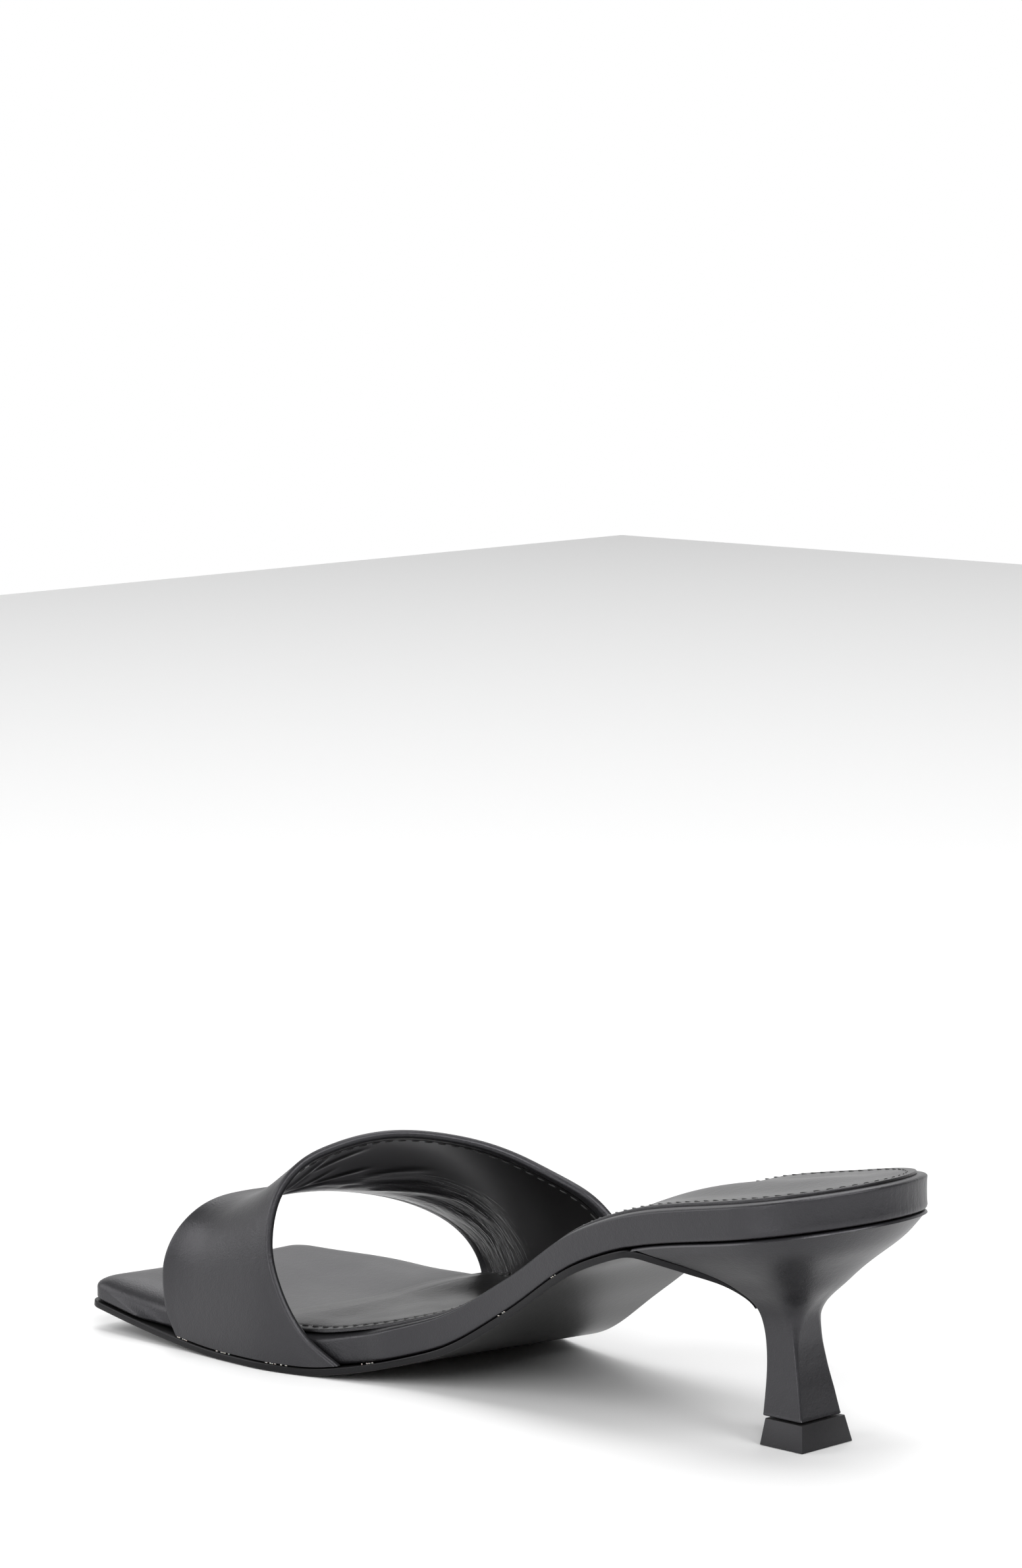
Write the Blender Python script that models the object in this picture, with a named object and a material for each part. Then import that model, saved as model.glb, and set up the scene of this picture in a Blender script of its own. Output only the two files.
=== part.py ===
# Heeled slide sandal, right foot: open square toe, one wide strap, slim flared heel.
# +X to the toe, +Y to the inner side, +Z up; origin in the middle of the heel's ground face.
import bmesh
import bpy
import numpy as np

for item in list(bpy.data.objects):
    bpy.data.objects.remove(item, do_unlink=True)

# Sizes of the whole shoe
SOLE_LENGTH = 0.2342
HEEL_OVERHANG = 0.0285
BALL_WIDTH = 0.0810
SEAT_HEIGHT = 0.0555
TOE_SKEW = 0.0070
TOE_CORNER = 0.0030
SKEW_START_SHARE = 0.7
CLEARANCE = 0.0003

# Layers of the sole
OUTSOLE_THICK = 0.0017
FOOTBED_THICK = 0.0079
FOOTBED_EDGE = 0.0024
SOCK_THICK = 0.0012
SOCK_CROWN = 0.0012
SOCK_MARGIN = 0.0036
SOCK_EDGE = 0.0004
SOCK_REACH_SHARE = 0.735
SOCK_SKEW = -0.0075
SOCK_BEND_SHARE = 0.5
WELT = 0.0005

# Strap: wall, upright part beside the footbed, and the line of the instep
STRAP_WALL = 0.0020
STRAP_RISER = 0.0085
STRAP_EASE = 0.0005
STRAP_FOLD_SHARE = 0.33
RECESS_RUN = 0.006
RECESS_LEAD = 0.002
RECESS_OVER_SHARE = 0.16
INSTEP_HEIGHT = 0.0576
APEX_OFFSET = 0.0180
INNER_POWER = 2.6
OUTER_POWER = 1.8

# Heel and top lift
LIFT_HEIGHT = 0.0060
LIFT_BACK = 0.0066
LIFT_FRONT = 0.0063
LIFT_HALF = 0.0084
LIFT_TAPER = 0.0012
LIFT_CORNER = 0.0004
FLAP_DOWN_SHARE = 0.64

# Sole outline: share of the length from the heel end, then half widths as shares of the ball width
OUTLINE_COLUMNS = ("length", "inner", "outer")
OUTLINE = (
    (0.121, 0.333, 0.333),
    (0.190, 0.335, 0.333),
    (0.312, 0.326, 0.338),
    (0.436, 0.306, 0.350),
    (0.537, 0.321, 0.392),
    (0.640, 0.396, 0.474),
    (0.742, 0.457, 0.543),
    (0.865, 0.448, 0.500),
    (1.000, 0.440, 0.345),
)

# Footbed's underside: share of the length, share of the seat height, slope up to the inner side,
# and the footbed's own thickness there as a share of FOOTBED_THICK
PROFILE_COLUMNS = ("length", "height", "tilt", "body")
PROFILE = (
    (0.000, 1.0000, 0.000, 1.04),
    (0.119, 0.9038, 0.000, 1.02),
    (0.237, 0.8077, 0.000, 1.00),
    (0.323, 0.6716, 0.008, 1.00),
    (0.426, 0.3806, 0.028, 1.00),
    (0.527, 0.1250, 0.060, 1.00),
    (0.630, 0.0187, 0.018, 1.00),
    (0.677, 0.0000, 0.000, 0.97),
    (0.796, 0.0000, 0.000, 0.96),
    (0.835, 0.0080, 0.003, 0.95),
    (0.912, 0.0410, 0.012, 0.92),
    (1.000, 0.0900, 0.028, 0.88),
)

# Instep: share of the length, height of the strap's top over the ground as a share of INSTEP_HEIGHT
INSTEP_COLUMNS = ("length", "height")
INSTEP = (
    (0.470, 1.370),
    (0.570, 1.160),
    (0.634, 1.042),
    (0.677, 0.978),
    (0.728, 0.848),
    (0.762, 0.745),
    (0.792, 0.678),
    (0.826, 0.628),
    (0.880, 0.575),
)

# Strap edges: share of the way over the foot from the inner side, then shares of the sole length
STRAP_COLUMNS = ("over", "front", "rear")
STRAP = (
    (0.00, 0.860, 0.640),
    (0.05, 0.875, 0.680),
    (0.12, 0.875, 0.708),
    (0.20, 0.868, 0.725),
    (0.28, 0.855, 0.729),
    (0.36, 0.842, 0.718),
    (0.44, 0.830, 0.692),
    (0.52, 0.820, 0.660),
    (0.60, 0.810, 0.622),
    (0.70, 0.795, 0.566),
    (0.80, 0.778, 0.505),
    (0.90, 0.756, 0.475),
    (1.00, 0.736, 0.466),
)

# Heel sections: share of the way up to the seat, then shares of the seat's half width
HEEL_COLUMNS = ("up", "back", "front", "half", "back_round", "front_round")
HEEL = (
    (0.000, 0.178, 0.258, 0.250, 0.015, 0.015),
    (0.130, 0.133, 0.254, 0.224, 0.018, 0.015),
    (0.280, 0.080, 0.265, 0.193, 0.025, 0.018),
    (0.417, 0.052, 0.292, 0.180, 0.050, 0.020),
    (0.512, 0.060, 0.318, 0.195, 0.110, 0.020),
    (0.600, 0.150, 0.345, 0.262, 0.220, 0.020),
    (0.669, 0.300, 0.385, 0.375, 0.350, 0.020),
    (0.742, 0.450, 0.460, 0.505, 0.500, 0.020),
    (0.813, 0.625, 0.570, 0.670, 0.680, 0.020),
    (0.882, 0.820, 0.720, 0.830, 0.850, 0.020),
    (0.940, 0.930, 0.900, 0.930, 0.950, 0.025),
    (1.000, 1.033, 1.090, 0.978, 1.000, 0.030),
)

# Counts of steps along each shape, and the turns that leave no sliver at its ends
SEAT_TURN_START = 5
CORNER_TURN_END = 84
ROUND_TURN_MARGIN = 3
SHARP_ANGLE = 35
ARC_STEPS = 9
BODY_STEPS = 34
CORNER_STEPS = 3
OVER_STEPS = 44
ACROSS_STEPS = 10
HALF_ARCH_STEPS = 24
RECESS_STEPS = 9
HEEL_STEPS = 26
ROUND_STEPS = 7
FLAP_STEPS = 12
FLAP_SLOPE_SHARE = 0.01
ROLL_TURNS = (0, 30, 60, 90)
DOME_SHARES = (0.25, 0.5, 0.75)

# Sizes that follow from the ones above
HEEL_END = -HEEL_OVERHANG
TOE_END = SOLE_LENGTH - HEEL_OVERHANG
SEAT_SHARE = OUTLINE[0][0]
SEAT_RADIUS = SEAT_SHARE * SOLE_LENGTH
SEAT_HALF = OUTLINE[0][1] * BALL_WIDTH
TREAD_TOP = OUTSOLE_THICK + CLEARANCE
HEEL_TIP = LIFT_HEIGHT + CLEARANCE


def column(table, names, name):
    return np.array([row[names.index(name)] for row in table])


def smooth(at, xs, ys):
    """Smooth curve through a table's rows that never swings past them."""
    at = np.clip(np.asarray(at, float), xs[0], xs[-1])
    steps = np.diff(xs)
    slopes = np.diff(ys) / steps
    before = slopes[:-1]
    after = slopes[1:]
    weight_before = 2 * steps[1:] + steps[:-1]
    weight_after = steps[1:] + 2 * steps[:-1]
    turning = before * after <= 0
    safe_before = np.where(turning, 1.0, before)
    safe_after = np.where(turning, 1.0, after)
    mean = (weight_before + weight_after) / (weight_before / safe_before + weight_after / safe_after)
    tangents = np.concatenate([slopes[:1], np.where(turning, 0.0, mean), slopes[-1:]])
    place = np.clip(np.searchsorted(xs, at, side="right") - 1, 0, len(steps) - 1)
    step = steps[place]
    along = (at - xs[place]) / step
    rest = 1 - along
    start = ys[place] * (1 + 2 * along) * rest**2 + step * tangents[place] * along * rest**2
    end = ys[place + 1] * (3 - 2 * along) * along**2 - step * tangents[place + 1] * along**2 * rest
    return start + end


def share_of(x):
    return (np.asarray(x, float) + HEEL_OVERHANG) / SOLE_LENGTH


def place_of(share):
    return share * SOLE_LENGTH - HEEL_OVERHANG


def read(table, names, name, at):
    return smooth(at, column(table, names, names[0]), column(table, names, name))


def half_width(x, side):
    return read(OUTLINE, OUTLINE_COLUMNS, side, share_of(x)) * BALL_WIDTH


def floor_of(x, y):
    """Height of the footbed's underside over the ground."""
    share = share_of(x)
    height = TREAD_TOP + read(PROFILE, PROFILE_COLUMNS, "height", share) * (SEAT_HEIGHT - TREAD_TOP)
    return height + read(PROFILE, PROFILE_COLUMNS, "tilt", share) * y


def skew_of(x, y):
    """How far the square toe's edge falls back towards the outer side."""
    ramp = np.clip((share_of(x) - SKEW_START_SHARE) / (1 - SKEW_START_SHARE), 0, 1) ** 2
    inner = OUTLINE[-1][1] * BALL_WIDTH
    outer = OUTLINE[-1][2] * BALL_WIDTH
    return TOE_SKEW * ramp * (inner - y) / (inner + outer)


def set_down(points):
    """Points given over a flat sole, laid on the shoe's own curve."""
    laid = []
    for x, y, rise in points:
        body = read(PROFILE, PROFILE_COLUMNS, "body", share_of(x))
        rise += (body - 1) * np.clip(rise, 0, FOOTBED_THICK)
        laid.append((x - skew_of(x, y), y, floor_of(x, y) + rise))
    return laid


def loft(name, sections):
    """One closed solid through a row of closed sections, each with the same number of points."""
    shape = bmesh.new()
    rings = []
    for section in sections:
        corners = [shape.verts.new(point) for point in section]
        ring = []
        for number, corner in enumerate(corners):
            ring.append(shape.edges.new((corner, corners[(number + 1) % len(corners)])))
        rings.append(ring)
    for first, second in zip(rings[:-1], rings[1:]):
        bmesh.ops.bridge_loops(shape, edges=first + second)
    bmesh.ops.contextual_create(shape, geom=rings[0])
    bmesh.ops.contextual_create(shape, geom=rings[-1])
    bmesh.ops.recalc_face_normals(shape, faces=shape.faces[:])
    mesh = bpy.data.meshes.new(name)
    shape.to_mesh(mesh)
    shape.free()
    mesh.shade_smooth()
    mesh.set_sharp_from_angle(angle=np.radians(SHARP_ANGLE))
    piece = bpy.data.objects.new(name, mesh)
    bpy.context.scene.collection.objects.link(piece)
    return piece


def finish(piece, colour, roughness):
    """The piece's own plain material."""
    look = bpy.data.materials.new(piece.name)
    look.use_nodes = True
    shader = look.node_tree.nodes["Principled BSDF"]
    shader.inputs["Base Color"].default_value = (*colour, 1)
    shader.inputs["Roughness"].default_value = roughness
    shader.inputs["Metallic"].default_value = 0
    piece.data.materials.append(look)


def strap_edge(name, over):
    return place_of(read(STRAP, STRAP_COLUMNS, name, over))


def strap_foot(over):
    """Where the strap's foot on one side starts and ends along the sole."""
    return strap_edge("rear", over).min(), strap_edge("front", over).max()


# The strap lies outside the footbed, which steps in there to make room for it
RECESS = STRAP_WALL + STRAP_EASE
STRAP_FEET = {
    "inner": strap_foot(np.linspace(0, RECESS_OVER_SHARE, RECESS_STEPS)),
    "outer": strap_foot(np.linspace(1 - RECESS_OVER_SHARE, 1, RECESS_STEPS)),
}


def recess(x, side):
    start, end = STRAP_FEET[side]
    entering = np.clip((x - start + RECESS_LEAD + RECESS_RUN) / RECESS_RUN, 0, 1)
    leaving = np.clip((end - x + RECESS_LEAD + RECESS_RUN) / RECESS_RUN, 0, 1)
    both = np.minimum(entering, leaving)
    return RECESS * both**2 * (3 - 2 * both)


def plan(inset, front, corner, stepped):
    """Stations of a layer's edge: reach, inner half width, outer half width."""
    rows = []
    radius = SEAT_RADIUS - inset
    for turn in np.radians(np.linspace(SEAT_TURN_START, 90, ARC_STEPS)):
        x = HEEL_END + inset + radius * (1 - np.cos(turn))
        rows.append((x, np.sin(turn), 0.0))
    start = HEEL_END + SEAT_RADIUS
    for share in np.linspace(0, 1, BODY_STEPS + 1)[1:]:
        rows.append((start + (front - corner - start) * share, 1.0, 0.0))
    for turn in np.radians(np.linspace(0, CORNER_TURN_END, CORNER_STEPS + 1)[1:]):
        rows.append((front - corner + corner * np.sin(turn), 1.0, corner * (1 - np.cos(turn))))
    stations = []
    for x, share, cut in rows:
        inner = half_width(x, "inner") - inset - stepped * recess(x, "inner")
        outer = half_width(x, "outer") - inset - stepped * recess(x, "outer")
        stations.append((x, inner * share - cut, outer * share - cut))
    return stations


def layer(levels, front, corner, stepped, crown):
    """Sections of a layer: levels are rises and insets of its edge from the bottom up."""
    edges = [plan(inset, front - inset, corner, stepped) for rise, inset in levels]
    sections = []
    for station in zip(*edges):
        section = []
        for level, (x, inner, outer) in zip(levels, station):
            section.append((x, inner, level[0]))
        x, inner, outer = station[-1]
        top = levels[-1][0]
        for share in DOME_SHARES:
            dome = crown * 4 * share * (1 - share)
            section.append((x, inner - share * (inner + outer), top + dome))
        for level, (x, inner, outer) in reversed(list(zip(levels, station))):
            section.append((x, -outer, level[0]))
        x, inner, outer = station[0]
        for share in DOME_SHARES[::-1]:
            section.append((x, inner - share * (inner + outer), levels[0][0]))
        sections.append(section)
    return sections


# Footbed: a board and padding wrapped in leather, its upper edge rolled
footbed_levels = [(0, WELT)]
for turn in np.radians(ROLL_TURNS):
    roll_rise = FOOTBED_THICK - FOOTBED_EDGE * (1 - np.sin(turn))
    footbed_levels.append((roll_rise, WELT + FOOTBED_EDGE * (1 - np.cos(turn))))
footbed_sections = layer(footbed_levels, TOE_END, TOE_CORNER, 1.0, 0.0)
footbed = loft("footbed", [set_down(section) for section in footbed_sections])
finish(footbed, (0.016, 0.016, 0.017), 0.42)

# Sock: a thin padded cover from the heel to the ball, set in from the rolled edge
SOCK_BASE = FOOTBED_THICK + CLEARANCE
SOCK_INSET = WELT + SOCK_MARGIN
SOCK_FRONT = place_of(SOCK_REACH_SHARE)
sock_levels = [
    (SOCK_BASE, SOCK_INSET),
    (SOCK_BASE + SOCK_THICK - SOCK_EDGE, SOCK_INSET),
    (SOCK_BASE + SOCK_THICK, SOCK_INSET + SOCK_EDGE),
]
sock_sections = []
for section in layer(sock_levels, SOCK_FRONT + SOCK_INSET, TOE_CORNER, 0.0, SOCK_CROWN):
    laid = []
    for x, y, rise in section:
        ramp = np.clip((share_of(x) - SOCK_BEND_SHARE) / (SOCK_REACH_SHARE - SOCK_BEND_SHARE), 0, 1) ** 2
        laid.append((x - SOCK_SKEW * ramp * y / BALL_WIDTH, y, rise))
    sock_sections.append(set_down(laid))
sock = loft("sock", sock_sections)
finish(sock, (0.014, 0.014, 0.015), 0.55)


# Heel: a slim block that flares to the seat, square at the tip and round at the seat's back
def seat_of(x):
    return floor_of(x, 0.0) - CLEARANCE


def heel_size(name, up):
    return float(read(HEEL, HEEL_COLUMNS, name, up)) * SEAT_HALF


def heel_height(x, up):
    return HEEL_TIP + up * (seat_of(x) - HEEL_TIP)


def rounded(back, front, half, back_round, front_round):
    """Outline of a heel section, seen from above, from the inner front corner round the back."""
    points = []
    corners = (
        (front - front_round, half - front_round, front_round, front_round, 0),
        (-back + back_round, half - min(back_round, half), back_round, min(back_round, half), 90),
        (-back + back_round, -half + min(back_round, half), back_round, min(back_round, half), 180),
        (front - front_round, -half + front_round, front_round, front_round, 270),
    )
    for x, y, reach, width, start in corners:
        first = start + ROUND_TURN_MARGIN
        last = start + 90 - ROUND_TURN_MARGIN
        for turn in np.radians(np.linspace(first, last, ROUND_STEPS)):
            points.append((x + reach * np.cos(turn), y + width * np.sin(turn)))
    return points


HEEL_SIZES = ("back", "front", "half", "back_round", "front_round")
heel_sections = []
for up in np.linspace(0, 1, HEEL_STEPS):
    outline = rounded(*[heel_size(name, up) for name in HEEL_SIZES])
    heel_sections.append([(x, y, heel_height(x, up)) for x, y in outline])
heel = loft("heel", heel_sections)
finish(heel, (0.018, 0.018, 0.019), 0.38)

# Top lift: the hard ground piece under the heel's tip, a little wider at the ground
lift_sections = []
for share in (0.0, 1.0):
    taper = LIFT_TAPER * share
    sizes = (LIFT_BACK - taper, LIFT_FRONT - taper / 2, LIFT_HALF - taper, LIFT_CORNER, LIFT_CORNER)
    lift_sections.append([(x, y, LIFT_HEIGHT * share) for x, y in rounded(*sizes)])
top_lift = loft("top_lift", lift_sections)
finish(top_lift, (0.012, 0.012, 0.012), 0.5)

# Outsole: one thin sheet from the toe to the heel, turned down over the heel's front face
outsole_sections = []
for up in np.linspace(FLAP_DOWN_SHARE, 1, FLAP_STEPS):
    low = max(up - FLAP_SLOPE_SHARE, 0)
    high = min(up + FLAP_SLOPE_SHARE, 1)
    x = heel_size("front", up)
    rise_x = heel_size("front", high) - heel_size("front", low)
    rise_z = heel_height(heel_size("front", high), high) - heel_height(heel_size("front", low), low)
    size = np.hypot(rise_x, rise_z)
    ahead = rise_z / size
    down = -rise_x / size
    z = heel_height(x, up)
    half = heel_size("half", up) - CLEARANCE
    section = []
    for depth, way in ((CLEARANCE + OUTSOLE_THICK, 1), (CLEARANCE, -1)):
        for side in (-1, 0, 1):
            section.append((x + depth * ahead, half * side * way, z + depth * down))
    outsole_sections.append(section)
shank_start = heel_size("front", 1) + OUTSOLE_THICK
for x, inner, outer in plan(0, TOE_END, TOE_CORNER, 0.0):
    if x > shank_start:
        section = []
        for rise, way in ((-TREAD_TOP, 1), (-CLEARANCE, -1)):
            for y in (-outer, 0.0, inner)[::way]:
                section.append((x, y, rise))
        outsole_sections.append(set_down(section))
outsole = loft("outsole", outsole_sections)
finish(outsole, (0.013, 0.013, 0.013), 0.4)


# Upper: one wide strap, folded at both edges, lasted between footbed and outsole
def arch(x):
    """Points over the foot at one place along it, from the inner ledge to the outer ledge."""
    inner = half_width(x, "inner") - WELT
    outer = half_width(x, "outer") - WELT
    apex = INSTEP_HEIGHT * read(INSTEP, INSTEP_COLUMNS, "height", share_of(x))
    points = []
    for side, width, power in ((1, inner, INNER_POWER), (-1, outer, OUTER_POWER)):
        foot = floor_of(x, side * width)
        shoulder = foot + STRAP_RISER
        half = [(side * width, foot)]
        for turn in np.radians(np.linspace(0, 90, HALF_ARCH_STEPS + 1)):
            out = np.cos(turn) ** (2 / power)
            rise = np.sin(turn) ** (2 / power)
            y = APEX_OFFSET + out * (side * width - APEX_OFFSET)
            half.append((y, shoulder + rise * (apex - shoulder)))
        points.append(half)
    return np.array(points[0][:-1] + points[1][::-1])


def over_foot(x, over):
    """The strap's outer surface at a place along the foot and a share of the way over it."""
    points = arch(x)
    steps = np.hypot(*np.diff(points, axis=0).T)
    way = np.concatenate([[0], np.cumsum(steps)])
    at = over * way[-1]
    return np.array([x, np.interp(at, way, points[:, 0]), np.interp(at, way, points[:, 1])])


outer_grid = []
for over in np.linspace(0, 1, OVER_STEPS + 1):
    front = float(strap_edge("front", over))
    rear = float(strap_edge("rear", over))
    outer_grid.append([over_foot(x, over) for x in np.linspace(front, rear, ACROSS_STEPS + 1)])
outer_grid = np.array(outer_grid)
along_over = np.gradient(outer_grid, axis=0)
along_foot = np.gradient(outer_grid, axis=1)
outward = np.cross(along_foot, along_over)
outward /= np.linalg.norm(outward, axis=2, keepdims=True)
inner_grid = outer_grid - STRAP_WALL * outward
edge_way = along_foot / np.linalg.norm(along_foot, axis=2, keepdims=True)
strap_sections = []
for outside, inside, way in zip(outer_grid, inner_grid, edge_way):
    front_fold = (outside[0] + inside[0]) / 2 - way[0] * STRAP_WALL * STRAP_FOLD_SHARE
    rear_fold = (outside[-1] + inside[-1]) / 2 + way[-1] * STRAP_WALL * STRAP_FOLD_SHARE
    section = list(outside) + [rear_fold] + list(inside[::-1]) + [front_fold]
    strap_sections.append([(x - skew_of(x, y), y, z) for x, y, z in section])
upper = loft("upper", strap_sections)
finish(upper, (0.018, 0.018, 0.019), 0.4)
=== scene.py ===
import bmesh
import bpy
import numpy as np
from mathutils import Matrix, Vector


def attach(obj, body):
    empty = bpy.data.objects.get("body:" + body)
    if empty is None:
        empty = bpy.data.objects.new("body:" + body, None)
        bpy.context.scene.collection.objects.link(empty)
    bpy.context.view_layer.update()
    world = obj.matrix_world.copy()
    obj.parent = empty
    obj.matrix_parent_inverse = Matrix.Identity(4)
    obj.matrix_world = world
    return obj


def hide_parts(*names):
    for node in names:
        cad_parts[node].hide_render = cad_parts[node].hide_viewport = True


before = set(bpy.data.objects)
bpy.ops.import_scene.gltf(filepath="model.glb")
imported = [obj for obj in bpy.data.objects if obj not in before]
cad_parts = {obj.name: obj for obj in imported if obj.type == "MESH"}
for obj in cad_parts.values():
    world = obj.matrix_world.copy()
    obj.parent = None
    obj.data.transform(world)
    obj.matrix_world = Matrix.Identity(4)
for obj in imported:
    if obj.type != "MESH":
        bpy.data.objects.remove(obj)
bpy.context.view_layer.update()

# Floor: a pale sheet that the shoe stands on, far wider than the picture.
# The sheet is matt and almost white, so it shows only the shoe's soft shadow.
FLOOR_REACH = 1.7
FLOOR_DROP = 0.0001
FLOOR_WHITE = 0.85



def fill(node, values):
    """Set a node's own sockets."""
    for socket, value in values.items():
        node.inputs[socket].default_value = value


floor_shape = bmesh.new()
bmesh.ops.create_grid(floor_shape, x_segments=8, y_segments=8, size=FLOOR_REACH)
bmesh.ops.translate(floor_shape, verts=floor_shape.verts[:], vec=(0, 0, -FLOOR_DROP))
floor_mesh = bpy.data.meshes.new("floor")
floor_shape.to_mesh(floor_mesh)
floor_shape.free()
floor = bpy.data.objects.new("floor", floor_mesh)
bpy.context.scene.collection.objects.link(floor)
floor_look = bpy.data.materials.new("floor_white")
floor_look.use_nodes = True
fill(
    floor_look.node_tree.nodes["Principled BSDF"],
    {
        "Base Color": (FLOOR_WHITE, FLOOR_WHITE, FLOOR_WHITE, 1),
        "Roughness": 0.9,
        "Specular IOR Level": 0.1,
    },
)
floor_mesh.materials.append(floor_look)

# Camera: stands behind the shoe and to its left, low over the floor, with a long lens.
# The place comes from the heel tip, the toe's corners and the rims as the photograph shows them.
PHOTO_WIDTH = 1552
PHOTO_HEIGHT = 2380
FOCAL_PIXELS = 8280.2
SENSOR = 36.0
AIM = np.array((0.080, 0.0, 0.030))
AIM_COLUMN = 831.2
AIM_ROW = 1912.3
AIM_DISTANCE = 1.2832
AIM_TURN = np.radians(44.86)
AIM_FALL = np.radians(12.46)
ROLL = np.radians(-0.60)
NEAREST = 0.05
FARTHEST = 60

ahead = np.array((np.sin(AIM_TURN), -np.cos(AIM_TURN), 0))
right = np.array((-np.cos(AIM_TURN), -np.sin(AIM_TURN), 0))
up = np.array((0, 0, 1))
stand = AIM - AIM_DISTANCE * (np.cos(AIM_FALL) * ahead - np.sin(AIM_FALL) * up)
fall = AIM_FALL - np.arctan((AIM_ROW - PHOTO_HEIGHT / 2) / FOCAL_PIXELS)
swing = np.arctan((AIM_COLUMN - PHOTO_WIDTH / 2) / FOCAL_PIXELS)
level = np.cos(swing) * ahead - np.sin(swing) * right
across = np.cos(swing) * right + np.sin(swing) * ahead
axis = np.cos(fall) * level - np.sin(fall) * up
over = np.cos(fall) * up + np.sin(fall) * level
picture_right = np.cos(ROLL) * across + np.sin(ROLL) * over
picture_up = np.cos(ROLL) * over - np.sin(ROLL) * across
camera_data = bpy.data.cameras.new("camera")
camera_data.sensor_width = SENSOR
camera_data.lens = FOCAL_PIXELS * SENSOR / PHOTO_HEIGHT
camera_data.clip_start = NEAREST
camera_data.clip_end = FARTHEST
camera = bpy.data.objects.new("camera", camera_data)
turned = Matrix(np.array((picture_right, picture_up, -axis)).T.tolist()).to_4x4()
camera.matrix_world = Matrix.Translation(stand) @ turned
bpy.context.scene.collection.objects.link(camera)
bpy.context.scene.camera = camera

# Light: six round soft boxes, overhead, behind, to both sides and high over the camera.
# The room is white behind the shoe and dark on the camera's side, as the leather's shine shows.
BOX_AIM = np.array((0.09, 0.0, 0.03))

# Soft boxes: name, degrees up, degrees round from behind the shoe to the picture's right,
# distance, width, watts
BOXES = (
    ("light_top", 90, 0, 2.2, 1.15, 15),
    ("light_left", 12, -135, 2.2, 1.15, 13),
    ("light_side", 22, -90, 2.2, 1.5, 16),
    ("light_high", 38, 180, 2.2, 1.15, 22.5),
    ("light_right", 38, 135, 2.2, 1.15, 21.5),
    ("light_back", 52, 0, 2.8, 2.0, 21),
)
ROOM_WHITE = 1.15
ROOM_DARK_END = -0.35
ROOM_WHITE_START = 0.85

for name, rise, turn, away, width, power in BOXES:
    rise, turn = np.radians(rise), np.radians(turn)
    way = np.cos(rise) * (np.cos(turn) * ahead + np.sin(turn) * right) + np.sin(rise) * up
    box_data = bpy.data.lights.new(name, "AREA")
    box_data.shape = "DISK"
    box_data.size = width
    box_data.energy = power
    box_light = bpy.data.objects.new(name, box_data)
    box_light.location = BOX_AIM + away * way
    box_light.rotation_mode = "QUATERNION"
    box_light.rotation_quaternion = Vector(way.tolist()).to_track_quat("Z", "Y")
    bpy.context.scene.collection.objects.link(box_light)


def node(tree, kind, **values):
    """A new shader node; From_Min gives the value of its From Min socket."""
    made = tree.nodes.new("ShaderNode" + kind)
    fill(made, {socket.replace("_", " "): value for socket, value in values.items()})
    return made


def wire(tree, source, output, target, socket):
    """Link one node's output to another's input."""
    tree.links.new(source.outputs[output], target.inputs[socket])


room = bpy.data.worlds.new("room")
room.use_nodes = True
bpy.context.scene.world = room
tree = room.node_tree
tree.nodes.clear()
output = node(tree, "OutputWorld")
mix = node(tree, "MixShader")
path = node(tree, "LightPath")
seen = node(tree, "Background", Color=(1, 1, 1, 1))
shine = node(tree, "Background")
where = node(tree, "TexCoord")
facing = node(tree, "VectorMath")
facing.operation = "DOT_PRODUCT"
facing.inputs[1].default_value = ahead.tolist()
spread = node(
    tree, "MapRange", From_Min=ROOM_DARK_END, From_Max=ROOM_WHITE_START, To_Max=ROOM_WHITE
)
spread.interpolation_type = "SMOOTHSTEP"
wire(tree, where, "Generated", facing, 0)
wire(tree, facing, "Value", spread, "Value")
wire(tree, spread, "Result", shine, "Strength")
wire(tree, path, "Is Camera Ray", mix, "Fac")
wire(tree, shine, "Background", mix, 1)
wire(tree, seen, "Background", mix, 2)
wire(tree, mix, "Shader", output, "Surface")
bpy.context.scene.view_settings.view_transform = "Standard"

# Footbed: board, shank and foam wrapped in smooth black leather, pulled tight round the edge.
# The wrap stands up in a narrow lip round the heel and turns over in a soft roll at the toe.
SOLE_LENGTH = 0.2342
HEEL_OVERHANG = 0.0285
BALL_WIDTH = 0.0810
SEAT_HEIGHT = 0.0555
TOE_SKEW = 0.0070
TOE_CORNER = 0.0034
SKEW_START = 0.7
CLEARANCE = 0.0003
OUTSOLE_THICK = 0.0017
FOOTBED_THICK = 0.0079
WELT = 0.0005
LIP_HEEL = 0.0009
LIP_TOE = 0.0045
LIP_RUN_HEEL = 2.6
LIP_RUN_TOE = 2.1
LIP_FLAT = 0.0025
LIP_START = 0.5
LIP_GROWTH = 0.4
UNDER_TURN = 0.0008
HEEL_HOLLOW = 0.00015
HOLLOW_RUN = 0.04
TOE_FAN = 0.016
SOFTEN = 0.018

# Strap's foot: share of the way over the foot, how deep the footbed steps in behind it, how far
# past the strap, and over which runs at the back, at the front and along the lower edge
STRAP_FOOT = 0.16
RECESS = 0.0026
RECESS_BACK = 0.002
RECESS_AHEAD = 0.001
RECESS_RUN = 0.013
RECESS_RUN_FRONT = 0.024
RECESS_RUN_LOW = 0.012

# Padding of the toe's outer side: height, shares of the length where it starts and thins again,
# each with its run, how much it thins, and metres across with the run there
OUTER_PAD = 0.0016
PAD_START = 0.60
PAD_RUN = 0.10
PAD_THINS = 0.82
PAD_THIN_RUN = 0.12
PAD_THINNED = 0.4
PAD_ACROSS = 0.004
PAD_ACROSS_RUN = 0.022

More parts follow.
